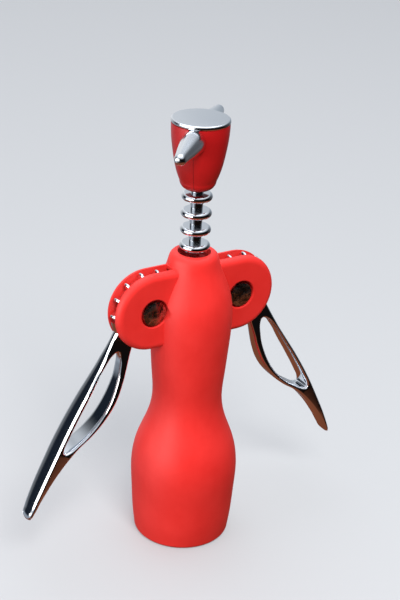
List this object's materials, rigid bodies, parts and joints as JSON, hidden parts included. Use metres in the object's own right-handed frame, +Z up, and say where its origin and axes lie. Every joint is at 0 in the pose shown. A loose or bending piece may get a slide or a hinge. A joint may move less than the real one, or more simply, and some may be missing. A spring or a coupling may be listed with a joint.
{
  "type": "winged corkscrew",
  "caption": "Double-lever corkscrew: a slotted bell-shaped body, hinged wings with gear teeth, a ringed spindle, a worm and a crossbar head.",
  "frame": {"origin": "centre of the bell's rim, on the surface it stands on", "axes": "+Z up along the worm's axis, X from wing to wing, -Y is the front"},
  "size_m": [0.1446, 0.047, 0.1783],
  "materials": {
    "soft_touch_coat": "matte soft-touch coat on a zinc casting",
    "guide_plastic": "moulded black plastic",
    "bush_plastic": "moulded dark red plastic",
    "chrome_spindle": "polished chrome plate",
    "worm_steel": "plated steel wire",
    "chrome_head": "polished chrome plate",
    "pin_steel": "bright drawn steel",
    "chrome_lever": "polished chrome plate",
    "hinge_pin_metal": "polished dark nickel",
    "grip_plastic": "satin red moulding"
  },
  "bodies": {
    "body": {"body_shell": "soft_touch_coat", "bottle_guide": "guide_plastic", "left_hinge_pin": "hinge_pin_metal", "right_hinge_pin": "hinge_pin_metal", "left_pin_cap": "hinge_pin_metal", "right_pin_cap": "hinge_pin_metal"},
    "bush": {"barrel_bush": "bush_plastic"},
    "screw": {"spindle": "chrome_spindle", "worm": "worm_steel", "crossbar": "chrome_head", "crossbar_pin": "pin_steel", "top_cap": "chrome_head", "front_grip_shell": "grip_plastic", "rear_grip_shell": "grip_plastic"},
    "left_wing": {"left_lever": "chrome_lever"},
    "right_wing": {"right_lever": "chrome_lever"}
  },
  "joints": [
    {"name": "left_wing_hinge", "type": "hinge", "parent": "body", "child": "left_wing", "pos_m": [-0.01954, 0, 0.1043], "axis": [0, 1, 0], "range_deg": [-26.9, 93]},
    {"name": "right_wing_hinge", "type": "hinge", "parent": "body", "child": "right_wing", "pos_m": [0.01954, 0, 0.1043], "axis": [0, -1, 0], "range_deg": [-27.4, 93.5]},
    {"name": "head_spin", "type": "hinge", "parent": "body", "child": "bush", "pos_m": [0, 0, 0.1195], "axis": [0, 0, 1], "continuous": true},
    {"name": "spindle_slide", "type": "slide", "parent": "bush", "child": "screw", "axis": [0, 0, 1], "range_m": [-0.02436, 0.00714]}
  ],
  "couplings": [
    {"joint": "right_wing_hinge", "follows": "left_wing_hinge", "ratio": 1},
    {"joint": "spindle_slide", "follows": "left_wing_hinge", "m_per_rad": -0.014924}
  ]
}
